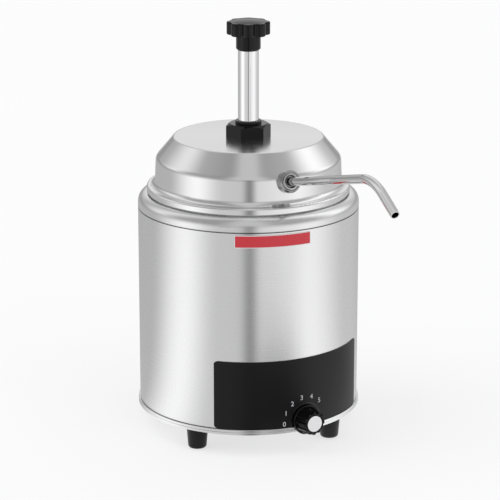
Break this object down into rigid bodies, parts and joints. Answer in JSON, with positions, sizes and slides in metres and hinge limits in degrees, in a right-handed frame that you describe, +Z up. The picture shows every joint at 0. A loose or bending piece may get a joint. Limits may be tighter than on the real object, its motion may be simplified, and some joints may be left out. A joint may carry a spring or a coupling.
{
  "type": "hot fudge topping warmer",
  "caption": "Round steel food warmer with a heated water bath, a lift-out jar, a domed lid with a push pump and a long bent spout, and a front dial.",
  "frame": {"origin": "on the table under the centre line of the case, at the feet's soles", "axes": "+Z up, -Y towards the front with the dial, +X to the right as seen from the front"},
  "size_m": [0.206, 0.3938, 0.382],
  "materials": {
    "case_steel": "satin, brushed round the case",
    "trim_steel": "satin",
    "vessel_steel": "satin",
    "jar_steel": "satin",
    "lid_steel": "spun satin, brushed in circles",
    "fitting_steel": "fine turned",
    "spout_steel": "polished",
    "pump_steel": "fine turned",
    "plunger_chrome": "polished",
    "knob_black": "gloss",
    "nut_black": "semi-gloss",
    "dial_black": "semi-gloss",
    "dial_cap_silver": "fine satin",
    "front_sheet_black": "semi-gloss film",
    "band_red": "printed film",
    "foot_rubber": "moulded",
    "seal_rubber": "moulded",
    "piston_plastic": "machined",
    "ball_steel": "polished",
    "spring_steel": "drawn",
    "plated_steel": "zinc plated",
    "heater_sheath": "heat-dulled",
    "copper_tube": "drawn copper",
    "glass_wool": "fibrous",
    "electric_plastic": "moulded",
    "bushing_plastic": "moulded",
    "wire_sleeve": "silicone sleeve"
  },
  "bodies": {
    "base": {"base_pan": "trim_steel", "outer_shell": "case_steel", "top_collar": "trim_steel", "water_vessel": "vessel_steel", "insulation_wrap": "glass_wool", "heating_element": "heater_sheath", "heater_clamp": "plated_steel", "tie_studs": "plated_steel", "tie_nuts": "plated_steel", "thermal_cutout": "electric_plastic", "thermostat": "electric_plastic", "thermostat_screws": "plated_steel", "sensor_bulb": "copper_tube", "bulb_clip": "spring_steel", "capillary": "copper_tube", "terminal_block": "electric_plastic", "terminal_screws": "plated_steel", "earth_stud": "plated_steel", "bay_wires": "wire_sleeve", "cord_bushing": "bushing_plastic", "cord_bushing_clip": "spring_steel", "front_sheet": "front_sheet_black", "red_band": "band_red", "foot_1": "foot_rubber", "foot_2": "foot_rubber", "foot_3": "foot_rubber", "foot_4": "foot_rubber", "foot_studs": "plated_steel", "foot_nuts": "plated_steel"},
    "dial": {"dial_knob": "dial_black", "dial_cap": "dial_cap_silver", "dial_shaft": "plated_steel"},
    "jar": {"sauce_jar": "jar_steel"},
    "seal": {"lid_seal": "seal_rubber"},
    "lid": {"lid_cover": "lid_steel", "spout_boss": "fitting_steel", "spout_locknut": "fitting_steel", "spout_nut": "fitting_steel", "spout_tube": "spout_steel", "spout_coupling": "fitting_steel", "pump_nut": "nut_black", "head_gasket": "seal_rubber", "pump_head": "pump_steel", "rod_seal": "seal_rubber", "pump_cylinder": "pump_steel", "ball_retainer": "pump_steel", "valve_body": "pump_steel", "riser_tube": "spout_steel", "riser_union": "fitting_steel", "return_spring": "spring_steel"},
    "inlet_valve": {"inlet_ball": "ball_steel"},
    "outlet_valve": {"outlet_ball": "ball_steel"},
    "plunger": {"star_knob": "knob_black", "knob_stud": "pump_steel", "plunger_tube": "plunger_chrome", "stop_collar": "pump_steel", "tube_plug": "pump_steel", "piston": "piston_plastic", "piston_seal": "piston_plastic", "piston_screw": "pump_steel"}
  },
  "joints": [
    {"name": "dial_turn", "type": "hinge", "parent": "base", "child": "dial", "pos_m": [0.00451, -0.1033, 0.0317], "axis": [-0.0436, 0.999, 0], "range_deg": [0, 142]},
    {"name": "jar_lift", "type": "slide", "parent": "base", "child": "jar", "axis": [0, 0, 1], "range_m": [0, 0.17]},
    {"name": "lid_lift", "type": "slide", "parent": "jar", "child": "seal", "axis": [0, 0, 1], "range_m": [0, 0.165]},
    {"name": "lid_turn", "type": "hinge", "parent": "seal", "child": "lid", "pos_m": [0, 0, 0.26], "axis": [0, 0, 1], "continuous": true},
    {"name": "pump_press", "type": "slide", "parent": "lid", "child": "plunger", "axis": [0, 0, -1], "range_m": [0, 0.06], "stiffness_N_per_m": 350, "springref_m": -0.03, "deforming": ["return_spring"]},
    {"name": "inlet_ball_lift", "type": "slide", "parent": "lid", "child": "inlet_valve", "axis": [0, 0, 1], "range_m": [0, 0.003]},
    {"name": "outlet_ball_lift", "type": "slide", "parent": "lid", "child": "outlet_valve", "axis": [0, 0, 1], "range_m": [0, 0.003]}
  ]
}
